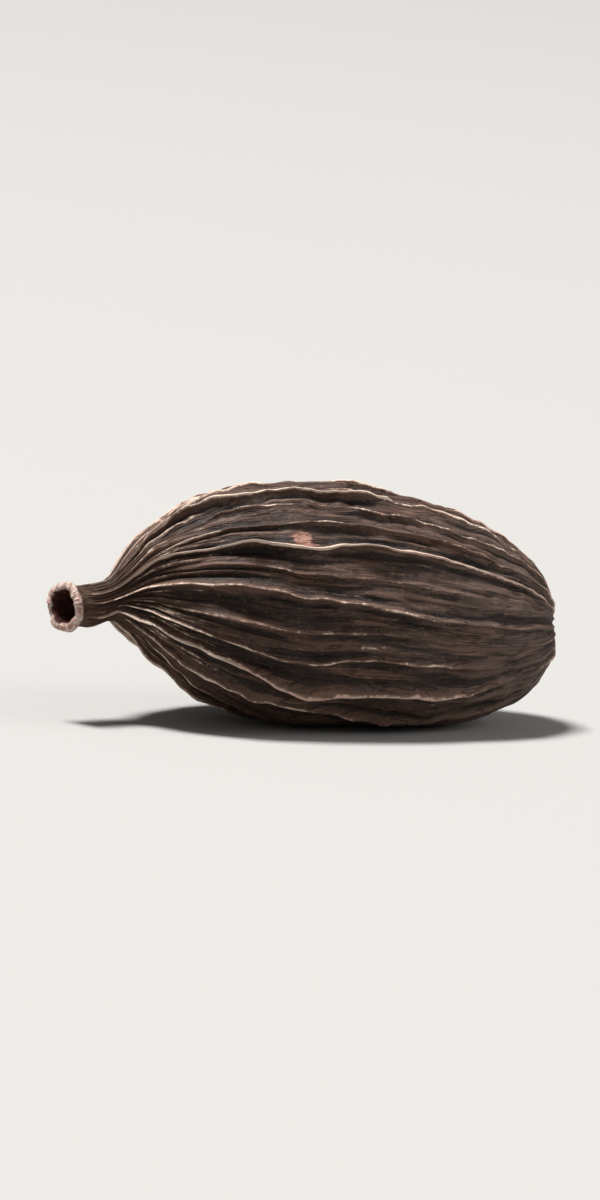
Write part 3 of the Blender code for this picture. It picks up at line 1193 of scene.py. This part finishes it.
    def fine_relief(self) -> Socket:
        """Adds the relief that is finer than the mesh: strands, creases and pits.

        Returns:
            The normal.
        """
        inputs = {0: self.drawn[Grain.STRANDS], 1: self.drawn[Grain.FIBRES]}
        grain = self.add_node("Math", inputs, operation="ADD").outputs[0]
        inputs = {0: self.drawn[Grain.CREASES], 1: self.crease_share, 2: grain}
        height = self.add_node("Math", inputs, operation="MULTIPLY_ADD").outputs[0]
        inputs = {"Height": height, "Distance": self.strand_depth, "Strength": self.strand_strength}
        fibrous = self.add_node("Bump", inputs).outputs[0]
        inputs = {"Height": self.drawn[Grain.PITS], "Distance": self.pit_depth, "Strength": self.pit_bump}
        return self.add_node("Bump", inputs | {"Normal": fibrous}).outputs[0]


@dataclass(frozen=True)
class Lamp:
    """One soft lamp: where it stands, how wide it is, and its power in watts."""

    name: str
    place: tuple[float, float, float]
    width: float
    power: float


@dataclass(frozen=True)
class Studio:
    """Pale floor, soft lamps and a long lens at the photograph's viewing angle.

    The floor is matt paper, so that the pod's shadow is soft and no gloss shows beside it.
    """

    azimuth: float = math.radians(-20)
    elevation: float = math.radians(8)
    roll: float = math.radians(3.5)
    distance: float = 0.45
    view_width: float = 28.4 * MM
    aspect: float = 2.0
    sensor: float = 36.0
    floor_width: float = 8.0
    floor_colour: str = "#a19f9c"
    floor_roughness: float = 0.9
    sky: float = 0.18
    lamps: tuple[Lamp, ...] = (
        Lamp("key_lamp", (-0.45, 0.16, 1.75), 0.40, 69.0),
        Lamp("fill_lamp", (1.45, -0.65, 0.85), 1.00, 11.5),
        Lamp("front_lamp", (-0.60, -1.50, 0.80), 1.00, 1.2),
    )

    def floor(self) -> None:
        """Lays the floor just under the pod."""
        bpy.ops.object.select_all(action="DESELECT")
        bpy.ops.mesh.primitive_plane_add(size=self.floor_width, location=(0, 0, 0))
        floor = bpy.context.active_object
        floor.name = "floor"
        material = bpy.data.materials.new("pale_paper")
        material.use_nodes = True
        shader = material.node_tree.nodes["Principled BSDF"]
        shader.inputs["Base Color"].default_value = linear(self.floor_colour)
        shader.inputs["Roughness"].default_value = self.floor_roughness
        floor.data.materials.append(material)

    def light(self) -> None:
        """Hangs the lamps and sets an even sky."""
        world = bpy.data.worlds.new("studio")
        bpy.context.scene.world = world
        world.use_nodes = True
        background = world.node_tree.nodes["Background"]
        background.inputs["Color"].default_value = (1, 1, 1, 1)
        background.inputs["Strength"].default_value = self.sky
        bpy.context.scene.view_settings.view_transform = "Standard"
        low, high = [Vector(corner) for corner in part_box(NODE)]
        middle = (low + high) / 2
        for lamp in self.lamps:
            bpy.ops.object.light_add(type="AREA", location=lamp.place)
            light = bpy.context.active_object
            light.name = lamp.name
            light.data.size = lamp.width
            light.data.energy = lamp.power
            light.rotation_euler = (middle - Vector(lamp.place)).to_track_quat("-Z", "Y").to_euler()

    def camera(self) -> None:
        """Points a long lens at the pod's middle."""
        low, high = [Vector(corner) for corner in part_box(NODE)]
        middle = (low + high) / 2
        level = math.cos(self.elevation)
        sideways = math.sin(self.azimuth) * level
        forwards = -math.cos(self.azimuth) * level
        back = Vector((sideways, forwards, math.sin(self.elevation)))
        bpy.ops.object.camera_add(location=middle + back * self.distance)
        camera = bpy.context.active_object
        camera.name = "camera"
        # The photographed pod lies tilted by a few degrees, and the camera is rolled by them instead
        level_turn = (-back).to_track_quat("-Z", "Y")
        camera.rotation_euler = (level_turn @ Quaternion((0, 0, 1), self.roll)).to_euler()
        camera.data.sensor_width = self.sensor
        camera.data.lens = self.sensor * self.distance / (self.view_width * self.aspect)
        camera.data.clip_start = 0.01
        bpy.context.scene.camera = camera

    def build(self) -> None:
        """Sets up the floor, the lamps and the camera."""
        self.floor()
        self.light()
        self.camera()


def main() -> None:
    """Builds the husk and the studio."""
    logging.basicConfig(level=logging.INFO)
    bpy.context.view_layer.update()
    husk = Husk().build()
    LOG.info("husk: %d faces", len(husk.data.polygons))
    Studio().build()
    LOG.info("studio: floor, lamps and camera")


if __name__ == "__main__":
    main()
